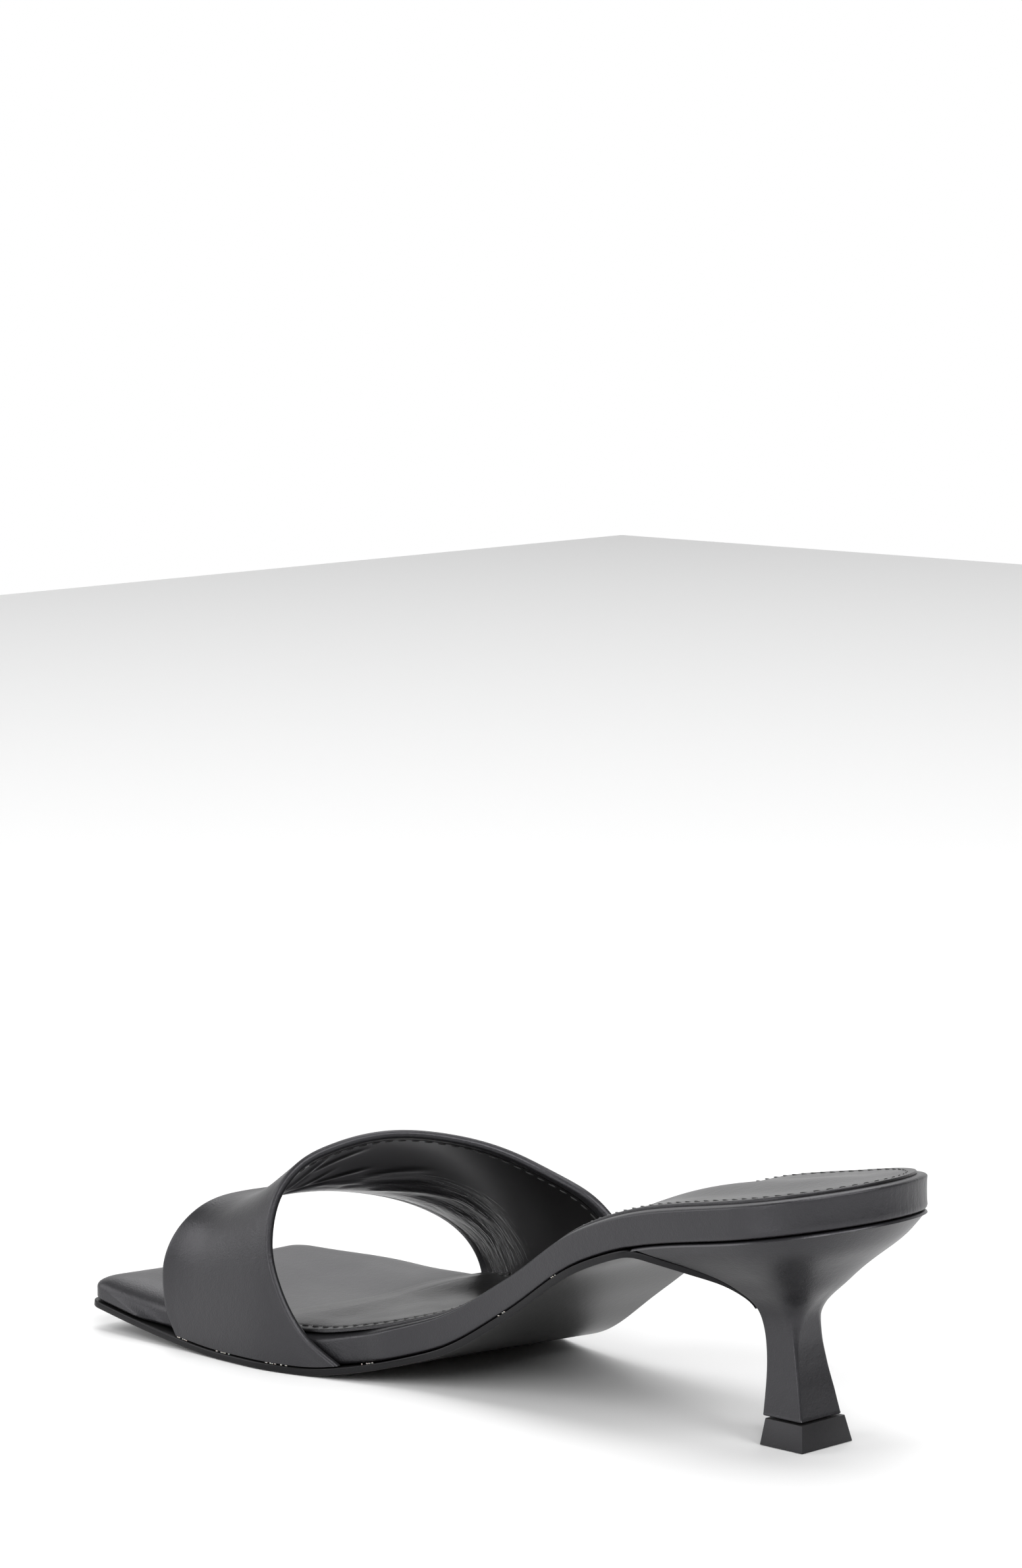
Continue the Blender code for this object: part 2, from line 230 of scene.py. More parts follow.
# Wrinkles where the wrap turns round the heel: degrees from the back to the outer side, lean of
# the line over the band's height, depth and half width in degrees
WRINKLES = (
    (-34, 5, 0.00004, 2.2),
    (-13, -4, 0.00005, 2.0),
    (1, 6, 0.00006, 1.2),
    (9, 3, 0.00008, 0.9),
    (15, 8, 0.00005, 1.1),
    (24, 5, 0.00008, 0.9),
    (30, 9, 0.00006, 0.8),
    (43, 6, 0.00005, 1.6),
)

# Sole outline: share of the length, then inner and outer half widths as shares of the ball width
OUTLINE = (
    (0.121, 0.333, 0.333),
    (0.190, 0.335, 0.333),
    (0.312, 0.326, 0.338),
    (0.436, 0.306, 0.350),
    (0.537, 0.321, 0.392),
    (0.640, 0.396, 0.474),
    (0.742, 0.457, 0.543),
    (0.865, 0.448, 0.500),
    (1.000, 0.440, 0.345),
)
# Underside: share of the length, share of the seat height, slope to the inner side, footbed's body
PROFILE = (
    (0.000, 1.0000, 0.000, 1.04),
    (0.119, 0.9038, 0.000, 1.02),
    (0.237, 0.8077, 0.000, 1.00),
    (0.323, 0.6716, 0.008, 1.00),
    (0.426, 0.3806, 0.028, 1.00),
    (0.527, 0.1250, 0.060, 1.00),
    (0.630, 0.0187, 0.018, 1.00),
    (0.677, 0.0000, 0.000, 0.97),
    (0.796, 0.0000, 0.000, 0.96),
    (0.835, 0.0080, 0.003, 0.95),
    (0.912, 0.0410, 0.012, 0.92),
    (1.000, 0.0900, 0.028, 0.88),
)
# Strap edges: share of the way over the foot from the inner side, then shares of the sole length
STRAP = (
    (0.00, 0.860, 0.640),
    (0.05, 0.875, 0.680),
    (0.12, 0.875, 0.708),
    (0.20, 0.868, 0.725),
    (0.28, 0.855, 0.729),
    (0.36, 0.842, 0.718),
    (0.44, 0.830, 0.692),
    (0.52, 0.820, 0.660),
    (0.60, 0.810, 0.622),
    (0.70, 0.795, 0.566),
    (0.80, 0.778, 0.505),
    (0.90, 0.756, 0.475),
    (1.00, 0.736, 0.466),
)
HEEL_END = -HEEL_OVERHANG
TOE_END = SOLE_LENGTH - HEEL_OVERHANG
SEAT_RADIUS = OUTLINE[0][0] * SOLE_LENGTH
SEAT_HALF = OUTLINE[0][1] * BALL_WIDTH
TREAD_TOP = OUTSOLE_THICK + CLEARANCE
INNER, OUTER = 1, 2
FRONT, REAR = 1, 2


def smooth(table, column, at):
    """Curve through a table's rows that never swings past them."""
    rows = np.array(table)
    xs = rows[:, 0]
    ys = rows[:, column]
    asked = np.asarray(at, float)
    at = np.clip(asked, xs[0], xs[-1])
    steps = np.diff(xs)
    slopes = np.diff(ys) / steps
    before, after = slopes[:-1], slopes[1:]
    turning = before * after <= 0
    first = 2 * steps[1:] + steps[:-1]
    second = steps[1:] + 2 * steps[:-1]
    pull = first / np.where(turning, 1, before) + second / np.where(turning, 1, after)
    middle = np.where(turning, 0, (first + second) / np.where(turning, 1, pull))
    tangents = np.concatenate([slopes[:1], middle, slopes[-1:]])
    spot = np.clip(np.searchsorted(xs, at, side="right") - 1, 0, len(steps) - 1)
    step = steps[spot]
    way = (at - xs[spot]) / step
    rest = 1 - way
    start = ys[spot] * (1 + 2 * way) * rest**2 + step * tangents[spot] * way * rest**2
    end = ys[spot + 1] * (3 - 2 * way) * way**2 - step * tangents[spot + 1] * way**2 * rest
    beyond = np.where(asked < xs[0], tangents[0], tangents[-1]) * (asked - at)
    return start + end + beyond


def softened(table, column, at, width=SOFTEN):
    """The same curve with soft turns."""
    shifts = np.linspace(-width, width, 7)
    return np.mean([smooth(table, column, np.asarray(at) + shift) for shift in shifts], axis=0)


def ease(value):
    """From 0 to 1 with a soft start and end."""
    value = np.clip(value, 0, 1)
    return value * value * (3 - 2 * value)


def share_of(x):
    return (x + HEEL_OVERHANG) / SOLE_LENGTH


def place_of(share):
    return share * SOLE_LENGTH - HEEL_OVERHANG


def half_width(x, side):
    """Width of the sole from its centre line to its inner or outer edge."""
    share = share_of(x)
    inner = softened(OUTLINE, INNER, share)
    outer = softened(OUTLINE, OUTER, share)
    return np.where(side > 0, inner, outer) * BALL_WIDTH


def floor_of(x, y):
    """Height of the footbed's underside over the ground."""
    share = share_of(x)
    height = TREAD_TOP + softened(PROFILE, 1, share) * (SEAT_HEIGHT - TREAD_TOP)
    return height + softened(PROFILE, 2, share) * y


def skew_of(x, y):
    """How far the toe is drawn back towards its outer corner."""
    ramp = np.clip((share_of(x) - SKEW_START) / (1 - SKEW_START), 0, 1) ** 2
    inner = OUTLINE[-1][INNER] * BALL_WIDTH
    outer = OUTLINE[-1][OUTER] * BALL_WIDTH
    return TOE_SKEW * ramp * (inner - y) / (inner + outer)


def laid(x, y, rise):
    """Points over a flat sole, laid on the shoe's own curve."""
    body = softened(PROFILE, 3, share_of(x))
    rise = rise + (body - 1) * np.clip(rise, 0, FOOTBED_THICK)
    return np.stack([x - skew_of(x, y), y, floor_of(x, y) + rise], axis=-1)


def strap_edge(column, share):
    """Place along the foot of the strap's front or rear edge."""
    return place_of(softened(STRAP, column, share, 0.02))


def recess(x, side, front_run):
    """Depth by which the footbed steps in behind the strap's foot, let out again over a run."""
    low = np.linspace(0, STRAP_FOOT, 9)
    depth = np.zeros_like(x)
    for way, shares in ((1, low), (-1, 1 - low)):
        start = strap_edge(REAR, shares).min()
        end = strap_edge(FRONT, shares).max()
        entering = ease((x - start + RECESS_BACK + RECESS_RUN) / RECESS_RUN)
        leaving = ease((end - x + RECESS_AHEAD + front_run) / front_run)
        depth = np.where(side == way, RECESS * np.minimum(entering, leaving), depth)
    return depth


def rim(way, side, inset, front, front_run):
    """Edge of a layer from the heel's middle to the toe's middle, seen from above."""
    heel_part, side_part, corner_part = 0.16, 0.90, 0.94
    turn = np.clip(way / heel_part, 0, 1) * np.pi / 2
    along = np.clip((way - heel_part) / (side_part - heel_part), 0, 1)
    bend = np.clip((way - side_part) / (corner_part - side_part), 0, 1) * np.pi / 2
    cross = np.clip((way - corner_part) / (1 - corner_part), 0, 1)
    start = HEEL_END + SEAT_RADIUS
    x = start - (SEAT_RADIUS - inset) * np.cos(turn)
    x = x + (front - TOE_CORNER - start) * along + TOE_CORNER * np.sin(bend)
    half = half_width(x, side) - inset
    other = half_width(x, -side) - inset
    if front_run:
        half = half - recess(x, side, front_run)
        other = other - recess(x, -side, front_run)
    y = half * np.sin(turn) - TOE_CORNER * (1 - np.cos(bend))
    y = y + cross * ((half - other) / 2 - y)
    return x, side * y


def finished(name, shape, look, sharp=None):
    """A shaped bmesh made a smooth piece of one look, sharp past an angle."""
    mesh = bpy.data.meshes.new(name)
    shape.to_mesh(mesh)
    shape.free()
    mesh.shade_smooth()
    if sharp:
        mesh.set_sharp_from_angle(angle=np.radians(sharp))
    mesh.materials.append(look)
    piece = bpy.data.objects.new(name, mesh)
    bpy.context.scene.collection.objects.link(piece)
    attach(piece, "root")
    return piece


def skin(name, points, look):
    """A closed piece from rows of points: a grid bent to shape, with its seam and ends closed."""
    rows, columns = points.shape[:2]
    shape = bmesh.new()
    shape.loops.layers.uv.new("UVMap")
    bmesh.ops.create_grid(
        shape, x_segments=columns - 1, y_segments=rows - 1, size=0.5, calc_uvs=True
    )
    for corner, point in zip(shape.verts, points.reshape(-1, 3)):
        corner.co = point
    bmesh.ops.remove_doubles(shape, verts=shape.verts[:], dist=0.000002)
    bmesh.ops.holes_fill(shape, edges=[edge for edge in shape.edges if edge.is_boundary], sides=0)
    bmesh.ops.recalc_face_normals(shape, faces=shape.faces[:])
    return finished(name, shape, look, sharp=40)


def half_ways(columns):
    """Shares round a whole rim: up the inner side to the toe and back down the outer side."""
    way = np.linspace(0, 1, columns + 1)
    ways = np.concatenate([way, way[::-1][1:]])
    sides = np.concatenate([np.ones(columns + 1), -np.ones(columns)])
    return ways, sides


def layer(rows, columns, front, lay):
    """Lines round a layer from its underside's middle, over its edge, to its top's middle.

    A row is its inset, rise, share of the way to the middle, and the recess's run in front.
    """
    ways, sides = half_ways(columns)
    flat_x = rim(ways, sides, 0, front, 0)[0]
    lines = []
    for inset, rise, share, front_run in rows:
        inset_here = inset(flat_x) if callable(inset) else np.full_like(ways, inset)
        rise_here = rise(flat_x) if callable(rise) else np.full_like(ways, rise)
        x, y = rim(ways, sides, inset_here, front - inset_here, front_run)
        middle_x = np.clip(x, HEEL_END + SEAT_RADIUS, front - TOE_FAN)
        middle_y = (half_width(x, 1) - half_width(x, -1)) / 2
        x = x + share * (middle_x - x)
        y = y + share * (middle_y - y)
        lines.append(lay(x, y, rise_here, share))
    return np.array(lines)


def effect_group(name, inputs, outputs):
    """A shader group with its input and output nodes, from names and kinds of sockets."""
    group = bpy.data.node_groups.new(name, "ShaderNodeTree")
    for way, sockets in (("INPUT", inputs), ("OUTPUT", outputs)):
        for socket, kind in sockets:
            group.interface.new_socket(socket, in_out=way, socket_type="NodeSocket" + kind)
    return group, group.nodes.new("NodeGroupInput"), group.nodes.new("NodeGroupOutput")


def leather_grain():
    """Group for all the leathers: fine pores, a slow change of tone and of polish."""
    group, given, result = effect_group(
        "leather_grain",
        (
            ("Vector", "Vector"),
            ("Pores Per Metre", "Float"),
            ("Dark", "Color"),
            ("Light", "Color"),
            ("Polished", "Float"),
            ("Dull", "Float"),
        ),
        (("Colour", "Color"), ("Roughness", "Float"), ("Height", "Float")),
    )
    pores = node(group, "TexVoronoi")
    pores.feature = "SMOOTH_F1"
    wrinkles = node(group, "TexNoise", Scale=620, Detail=4)
    slow = node(group, "TexNoise", Scale=48, Detail=3)
    contrast = node(group, "MapRange", From_Min=0.25, From_Max=0.75)
    contrast.interpolation_type = "SMOOTHSTEP"
    tone = node(group, "Mix")
    tone.data_type = "RGBA"
    polish = node(group, "Mix")
    height = node(group, "Math")
    height.operation = "MULTIPLY_ADD"
    height.inputs[1].default_value = 0.55
    wire(group, given, "Vector", pores, "Vector")
    wire(group, given, "Vector", wrinkles, "Vector")
    wire(group, given, "Vector", slow, "Vector")
    wire(group, given, "Pores Per Metre", pores, "Scale")
    wire(group, slow, "Fac", contrast, "Value")
    wire(group, contrast, "Result", tone, 0)
    wire(group, given, "Dark", tone, 6)
    wire(group, given, "Light", tone, 7)
    wire(group, contrast, "Result", polish, 0)
    wire(group, given, "Polished", polish, 2)
    wire(group, given, "Dull", polish, 3)
    wire(group, pores, "Distance", height, 0)
    wire(group, wrinkles, "Fac", height, 2)
    wire(group, tone, 2, result, "Colour")
    wire(group, polish, 0, result, "Roughness")
    wire(group, height, "Value", result, "Height")
    return group


def leather_wrinkles():
    """Group for fine wrinkles near one edge of a leather: a stretched noise under a mask."""
    group, given, result = effect_group(
        "leather_wrinkles",
        (
            ("Vector", "Vector"),
            ("Stretch", "Vector"),
            ("Turn", "Vector"),
            ("Distortion", "Float"),
            ("Near Edge", "Float"),
        ),
        (("Height", "Float"),),
    )
    drawn = node(group, "Mapping")
    noise = node(group, "TexNoise", Scale=1, Detail=3)
    masked = node(group, "Math")
    masked.operation = "MULTIPLY"
    wire(group, given, "Vector", drawn, "Vector")
    wire(group, given, "Stretch", drawn, "Scale")
    wire(group, given, "Turn", drawn, "Rotation")
    wire(group, drawn, "Vector", noise, "Vector")
    wire(group, given, "Distortion", noise, "Distortion")
    wire(group, noise, "Fac", masked, 0)
    wire(group, given, "Near Edge", masked, 1)
    wire(group, masked, "Value", result, "Height")
    return group


GRAIN = leather_grain()
WRINKLED = leather_wrinkles()
SHINE_TINT = (0.95, 0.93, 1.0, 1)


def leather(name, dark, light, polished, dull, pores, depth, coat):
    """A dyed leather: its two tones, polish, pores to the metre, their depth and clear finish."""
    look = bpy.data.materials.new(name)
    look.use_nodes = True
    tree = look.node_tree
    shader = tree.nodes["Principled BSDF"]
    fill(shader, {"Specular Tint": SHINE_TINT, "Coat Weight": coat, "Coat Roughness": 0.28})
    grain = node(tree, "Group")
    grain.node_tree = GRAIN
    fill(grain, {"Pores Per Metre": pores, "Dark": (*dark, 1), "Light": (*light, 1)})
    fill(grain, {"Polished": polished, "Dull": dull})
    place = node(tree, "TexCoord")
    relief = node(tree, "Bump", Strength=1.0, Distance=depth)
    wire(tree, place, "Object", grain, "Vector")
    wire(tree, grain, "Colour", shader, "Base Color")
    wire(tree, grain, "Roughness", shader, "Roughness")
    wire(tree, grain, "Height", relief, "Height")
    wire(tree, relief, "Normal", shader, "Normal")
    return look


def wrinkle(look, source, axis, start, end, fade, stretch, turn, distortion, strength, depth):
    """Adds fine wrinkles to a leather, growing along one axis from a start to an end."""
    tree = look.node_tree
    place = node(tree, "TexCoord")
    parts = node(tree, "SeparateXYZ")
    near = node(tree, "MapRange", From_Min=start, From_Max=end)
    near.interpolation_type = fade
    wrinkles = node(tree, "Group")
    wrinkles.node_tree = WRINKLED
    turn = (0, 0, np.radians(turn))
    fill(wrinkles, {"Stretch": stretch, "Turn": turn, "Distortion": distortion})
    relief = node(tree, "Bump", Strength=strength, Distance=depth)
    wire(tree, place, source, parts, "Vector")
    wire(tree, parts, axis, near, "Value")
    wire(tree, place, source, wrinkles, "Vector")
    wire(tree, near, "Result", wrinkles, "Near Edge")
    wire(tree, wrinkles, "Height", relief, "Height")
    wire(tree, relief, "Normal", tree.nodes["Bump"], "Normal")


def lip(x):
    """Height of the rolled upper edge."""
    return LIP_HEEL + (LIP_TOE - LIP_HEEL) * ease((share_of(x) - LIP_START) / LIP_GROWTH)


def lip_run(x):
    """Width of the rolled upper edge."""
    growth = ease((share_of(x) - LIP_START) / LIP_GROWTH)
    return lip(x) * (LIP_RUN_HEEL + (LIP_RUN_TOE - LIP_RUN_HEEL) * growth)


def hollow(x):
    """Depth by which the wrap is pulled in between its edges round the heel."""
    return HEEL_HOLLOW * (1 - ease((x - HEEL_END) / HOLLOW_RUN))


def wall_inset(level):
    return lambda x: WELT + hollow(x) * 4 * level * (1 - level)


def wall_rise(level):
    return lambda x: UNDER_TURN + level * (FOOTBED_THICK - lip(x) - UNDER_TURN)


def lip_inset(turn):
    return lambda x: WELT + lip_run(x) * (1 - np.cos(turn))


def lip_rise(turn):
    return lambda x: FOOTBED_THICK - lip(x) * (1 - np.sin(turn))


def past_lip(gap):
    return lambda x: WELT + lip_run(x) + gap


def outer_pad(x, y):
    """Extra padding towards the outer side of the toe, where the top lies a little higher."""
    thinning = PAD_THINNED * ease((share_of(x) - PAD_THINS) / PAD_THIN_RUN)
    along = ease((share_of(x) - PAD_START) / PAD_RUN) * (1 - thinning)
    return OUTER_PAD * along * ease((-y - PAD_ACROSS) / PAD_ACROSS_RUN)


def lay_footbed(x, y, rise, share):
    """Points of the footbed, raised by the padding of the toe's outer side."""
    points = laid(x, y, rise)
    points[..., 2] += outer_pad(x, y) * rise / FOOTBED_THICK
    return points


footbed_rows = []
for share in (1.0, 0.6, 0.3, 0.1, 0.03, 0.0):
    footbed_rows.append((WELT + UNDER_TURN, 0.0, share, RECESS_RUN_LOW))
for turn in np.radians((30, 60, 90)):
    inset = WELT + UNDER_TURN * (1 - np.sin(turn))
    footbed_rows.append((inset, UNDER_TURN * (1 - np.cos(turn)), 0.0, RECESS_RUN_LOW))
for level in np.linspace(0, 1, 9)[1:]:
    front_run = RECESS_RUN_LOW + level * (RECESS_RUN_FRONT - RECESS_RUN_LOW)
    footbed_rows.append((wall_inset(level), wall_rise(level), 0.0, front_run))
for turn in np.radians(np.linspace(0, 90, 12))[1:]:
    footbed_rows.append((lip_inset(turn), lip_rise(turn), 0.0, RECESS_RUN_FRONT))
for gap in (0.0003, 0.0010, LIP_FLAT):
    footbed_rows.append((past_lip(gap), FOOTBED_THICK, 0.0, RECESS_RUN_FRONT))
for share in np.linspace(0, 1, 19)[1:]:
    footbed_rows.append((past_lip(LIP_FLAT), FOOTBED_THICK, share, RECESS_RUN_FRONT))
footbed_points = layer(footbed_rows, 300, TOE_END, lay_footbed)
turn_centre = HEEL_END + SEAT_RADIUS
band_x, band_y = footbed_points[..., 0], footbed_points[..., 1]
band_level = (footbed_points[..., 2] - floor_of(band_x, band_y)) / FOOTBED_THICK
on_band = ease(band_level / 0.25) * ease((1 - band_level) / 0.2) * (band_x < turn_centre)
round_heel = np.degrees(np.arctan2(-band_y, turn_centre - band_x))
sunk = np.zeros_like(band_x)
for turn, lean, deep, half in WRINKLES:
    sunk += deep * np.exp(-(((round_heel - turn - lean * (2 * band_level - 1) ** 2) / half) ** 2))
centre_way = np.stack([turn_centre - band_x, -band_y], axis=-1)
centre_way /= np.maximum(np.linalg.norm(centre_way, axis=-1, keepdims=True), 0.001)
footbed_points[..., :2] += centre_way * (sunk * on_band)[..., None]

# Finish of the leather of both wrap and strap
UPPER_FINISH = {
    "dark": (0.007, 0.007, 0.008),
    "light": (0.011, 0.011, 0.012),
    "polished": 0.36,
    "dull": 0.44,
    "pores": 2600,
    "depth": 0.00007,
    "coat": 0.12,
}
footbed_leather = leather("footbed_leather", **UPPER_FINISH)
wrinkle(
    footbed_leather,
    source="Object",
    axis="X",
    start=HEEL_END + 0.016,
    end=HEEL_END,
    fade="LINEAR",
    stretch=(900, 900, 198),
    turn=0,
    distortion=0,
    strength=0.5,
    depth=0.00025,
)
footbed = skin("footbed_wrap", footbed_points, footbed_leather)
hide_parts("footbed")

# Strap: one wide piece of smooth black leather over a thin lining, folded at both edges.
# It is lasted over the foot's shape and its feet go down between footbed and outsole.
STRAP_WALL = 0.0020
STRAP_RISER = 0.0085
INSTEP_HEIGHT = 0.0576
APEX_OFFSET = 0.0180
INNER_POWER = 2.6
OUTER_POWER = 1.8
FLARE = 0.0015
FLARE_RUN = 0.011
EDGE_BEAD = 0.00006
BEAD_FRONT = 0.0016
BEAD_BACK = 0.0013
EDGE_GROOVE = 0.00002
GROOVE_FRONT, GROOVE_FRONT_HALF = 0.0032, 0.0009
GROOVE_BACK, GROOVE_BACK_HALF = 0.0026, 0.0008
HELD_DOWN = 0.2
FOLD_STEP = 0.0004
LINING = 0.0006
LINING_BACK = 0.0021
LINING_FRONT = 0.0024
LINING_EDGE = 0.00008
LINING_ROLL = 0.00040
LINING_ROLL_RUN = 0.009
STITCH_PITCH = 0.0032
STITCH_LENGTH = 0.0022
STITCH_WIDTH = 0.00042
COLLAR_STITCH = 0.0031
COLLAR_SLANT = np.radians(7)

# Creases in the lining where the strap bends: over the foot and metres from the front edge, at each
# end, then depth and half width
CREASES = (
    (0.370, 0.0150, 0.402, 0.0300, 0.00035, 0.0010),
    (0.384, 0.0155, 0.398, 0.0260, -0.00025, 0.0008),
    (0.398, 0.0240, 0.470, 0.0320, 0.00025, 0.0012),
    (0.395, 0.0115, 0.462, 0.0158, -0.00030, 0.0010),
    (0.405, 0.0145, 0.445, 0.0215, 0.00028, 0.0009),
    (0.435, 0.0155, 0.520, 0.0205, 0.00030, 0.0010),
    (0.450, 0.0140, 0.580, 0.0122, 0.00022, 0.0013),
    (0.520, 0.0105, 0.672, 0.0182, -0.00022, 0.0016),
    (0.545, 0.0165, 0.640, 0.0235, 0.00018, 0.0016),
    (0.600, 0.0085, 0.740, 0.0145, 0.00025, 0.0014),
    (0.690, 0.0095, 0.800, 0.0120, -0.00020, 0.0016),
    (0.740, 0.0160, 0.830, 0.0180, 0.00018, 0.0018),
)

# Instep: share of the length, height of the strap's top as a share of INSTEP_HEIGHT
INSTEP = (
    (0.470, 1.370),
    (0.570, 1.160),
    (0.634, 1.042),
    (0.677, 0.978),
    (0.728, 0.848),
    (0.762, 0.745),
    (0.792, 0.678),
    (0.826, 0.628),
    (0.880, 0.575),
)


def arch(x):
    """Lines over the foot at places along it, from the inner ledge to the outer ledge."""
    apex = INSTEP_HEIGHT * softened(INSTEP, 1, share_of(x))
    halves = []
    for side, power in ((1, INNER_POWER), (-1, OUTER_POWER)):
        width = half_width(x, side) - WELT
        foot = floor_of(x, side * width)
        shoulder = foot + STRAP_RISER
        turns = np.radians(np.linspace(0, 90, 97))[:, None]
        out = np.cos(turns) ** (2 / power)
        rise = np.sin(turns) ** (2 / power)
        y = APEX_OFFSET + out * (side * width - APEX_OFFSET)
        z = shoulder + rise * (apex - shoulder)
        y = np.vstack([side * width, y])
        z = np.vstack([foot, z])
        halves.append((y, z))
    (inner_y, inner_z), (outer_y, outer_z) = halves
    return np.vstack([inner_y[:-1], outer_y[::-1]]), np.vstack([inner_z[:-1], outer_z[::-1]])


def over_foot(x, share):
    """The strap's outer surface at places along the foot and one share of the way over it."""
    y, z = arch(x)
    steps = np.hypot(np.diff(y, axis=0), np.diff(z, axis=0))
    way = np.vstack([np.zeros_like(x), np.cumsum(steps, axis=0)])
    at = share * way[-1]
    points = []
    for column in range(len(x)):
        spot_y = np.interp(at[column], way[:, column], y[:, column])
        spot_z = np.interp(at[column], way[:, column], z[:, column])
        points.append((x[column] - skew_of(x[column], spot_y), spot_y, spot_z))
    return points


STRAP_ROWS = 241
STRAP_COLUMNS = 57
strap_shares = np.linspace(0, 1, STRAP_ROWS)
bunched = (1 - np.cos(np.linspace(0, np.pi, STRAP_COLUMNS))) / 2
spread_out = 0.35 * np.linspace(0, 1, STRAP_COLUMNS) + 0.65 * bunched
strap_x = []
for share in strap_shares:
    fore = strap_edge(FRONT, share)
    back = strap_edge(REAR, share)
    strap_x.append(fore + (back - fore) * spread_out)
strap_x = np.array(strap_x)


def outward_of(points):
    """Ways out of the strap's outer surface."""
    ways = np.cross(np.gradient(points, axis=1), np.gradient(points, axis=0))
    return ways / np.linalg.norm(ways, axis=2, keepdims=True)


def lay_strap(places):
    """The strap's outer surface, and the way out of it, at places along each line over the foot."""
    points = np.array([over_foot(x, share) for x, share in zip(places, strap_shares)])
    front_gap = strap_edge(FRONT, strap_shares)[:, None] - places
    free = ease(strap_shares / HELD_DOWN) * ease((1 - strap_shares) / HELD_DOWN)
    flare = FLARE * np.clip(1 - front_gap / FLARE_RUN, 0, 1) ** 2 * free[:, None]
    points += outward_of(points) * flare[..., None]
    return points, outward_of(points)


strap_outer, outward = lay_strap(strap_x)
along_foot = np.gradient(strap_outer, axis=1)
edge_way = along_foot / np.linalg.norm(along_foot, axis=2, keepdims=True)
steps = np.linalg.norm(np.diff(strap_outer, axis=1), axis=2)
from_front = np.concatenate([np.zeros((STRAP_ROWS, 1)), np.cumsum(steps, axis=1)], axis=1)
from_back = from_front[:, -1:] - from_front


def strap_depth(depth):
    """Points at a depth under the strap's outer surface."""
    return strap_outer - outward * depth[..., None]


front_bead = np.exp(-((from_front / BEAD_FRONT) ** 2))
back_bead = np.exp(-((from_back / BEAD_BACK) ** 2))
front_groove = np.exp(-(((from_front - GROOVE_FRONT) / GROOVE_FRONT_HALF) ** 2))
back_groove = np.exp(-(((from_back - GROOVE_BACK) / GROOVE_BACK_HALF) ** 2))
bead = EDGE_BEAD * (front_bead + back_bead)
outside = strap_depth(EDGE_GROOVE * (front_groove + back_groove) - bead)
fold_back = 1 - ease((from_back - LINING_BACK + FOLD_STEP) / FOLD_STEP)
fold_front = 1 - ease((from_front - LINING_FRONT + FOLD_STEP) / FOLD_STEP)
cut_back = LINING * (1 - np.maximum(fold_back, fold_front)) + LINING_ROLL * fold_front
inside = strap_depth(STRAP_WALL - cut_back)


def fold(first, last, way):
    """Half round from one skin's edge to the other's."""
    middle = (first + last) / 2
    radius = (first - last) / 2
    reach = np.linalg.norm(radius, axis=1, keepdims=True) * way
    lines = []
    for turn in np.radians((30, 60, 90, 120, 150)):
        lines.append(middle + radius * np.cos(turn) + reach * np.sin(turn))
    return np.array(lines)


back_fold = fold(outside[:, -1], inside[:, -1], edge_way[:, -1])
front_fold = fold(inside[:, 0], outside[:, 0], -edge_way[:, 0])
strap_rows = list(outside.transpose(1, 0, 2)) + list(back_fold)
strap_rows += list(inside.transpose(1, 0, 2)[::-1]) + list(front_fold)
strap_rows.append(strap_rows[0])
strap_leather = leather("strap_leather", **UPPER_FINISH)
strap = skin("strap_outer", np.array(strap_rows), strap_leather)
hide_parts("upper")

# Lining: a thin glossy black lining leather inside the strap, from its folded edge to its front.
# It is sewn under the collar's fold by one row of black thread, and creases where the strap bends.
over_length = np.linalg.norm(np.diff(strap_outer[:, STRAP_COLUMNS // 2], axis=0), axis=1).sum()


def lining_places(gaps):
    """Places along the foot of the lining's lines, from their distances from the strap's front."""
    return np.array([np.interp(gap, way, x) for gap, way, x in zip(gaps, from_front, strap_x)])


def crease_depth(spots):
    """How far the lining's face stands in from its plain place, creases and front roll together."""
    depth = -LINING_ROLL * (1 - ease((spots - LINING_FRONT) / LINING_ROLL_RUN))
    place = (strap_shares * over_length)[:, None]
    for over_start, front_start, over_end, front_end, deep, half in CREASES:
        start = np.array((over_start * over_length, front_start))
        run = np.array((over_end * over_length, front_end)) - start
        size = np.hypot(*run)
        along = ((place - start[0]) * run[0] + (spots - start[1]) * run[1]) / size
        aside = ((place - start[0]) * run[1] - (spots - start[1]) * run[0]) / size
        fade = ease((along + 0.002) / 0.004) * ease((size - along + 0.004) / 0.008)
        depth += deep * fade * np.exp(-((aside / half) ** 2))
    return np.maximum(depth, -LINING_ROLL)


lining_wide = from_front[:, -1:] - LINING_FRONT - LINING_BACK
lining_spots = LINING_FRONT + np.linspace(0, 1, 81) * lining_wide
lining_outer, lining_out = lay_strap(lining_places(lining_spots))
face = lining_outer - lining_out * (STRAP_WALL + crease_depth(lining_spots))[..., None]
hidden = lining_outer - lining_out * (STRAP_WALL - LINING + LINING_EDGE)
lining_rows = list(face.transpose(1, 0, 2)) + list(hidden.transpose(1, 0, 2)[::-1])
lining_rows.append(lining_rows[0])
lining_leather = leather(
    "lining_leather",
    dark=(0.007, 0.007, 0.007),
    light=(0.008, 0.0075, 0.0075),
    polished=0.27,
    dull=0.27,
    pores=1500,
    depth=0.000008,
    coat=0.6,
)
wrinkle(
    lining_leather,
    source="UV",
    axis="Y",
    start=0.28,
    end=0.05,
    fade="SMOOTHSTEP",
    stretch=(20, 80, 1),
    turn=3,
    distortion=0.8,
    strength=1.0,
    depth=0.0006,
)
skin("strap_lining", np.array(lining_rows), lining_leather)

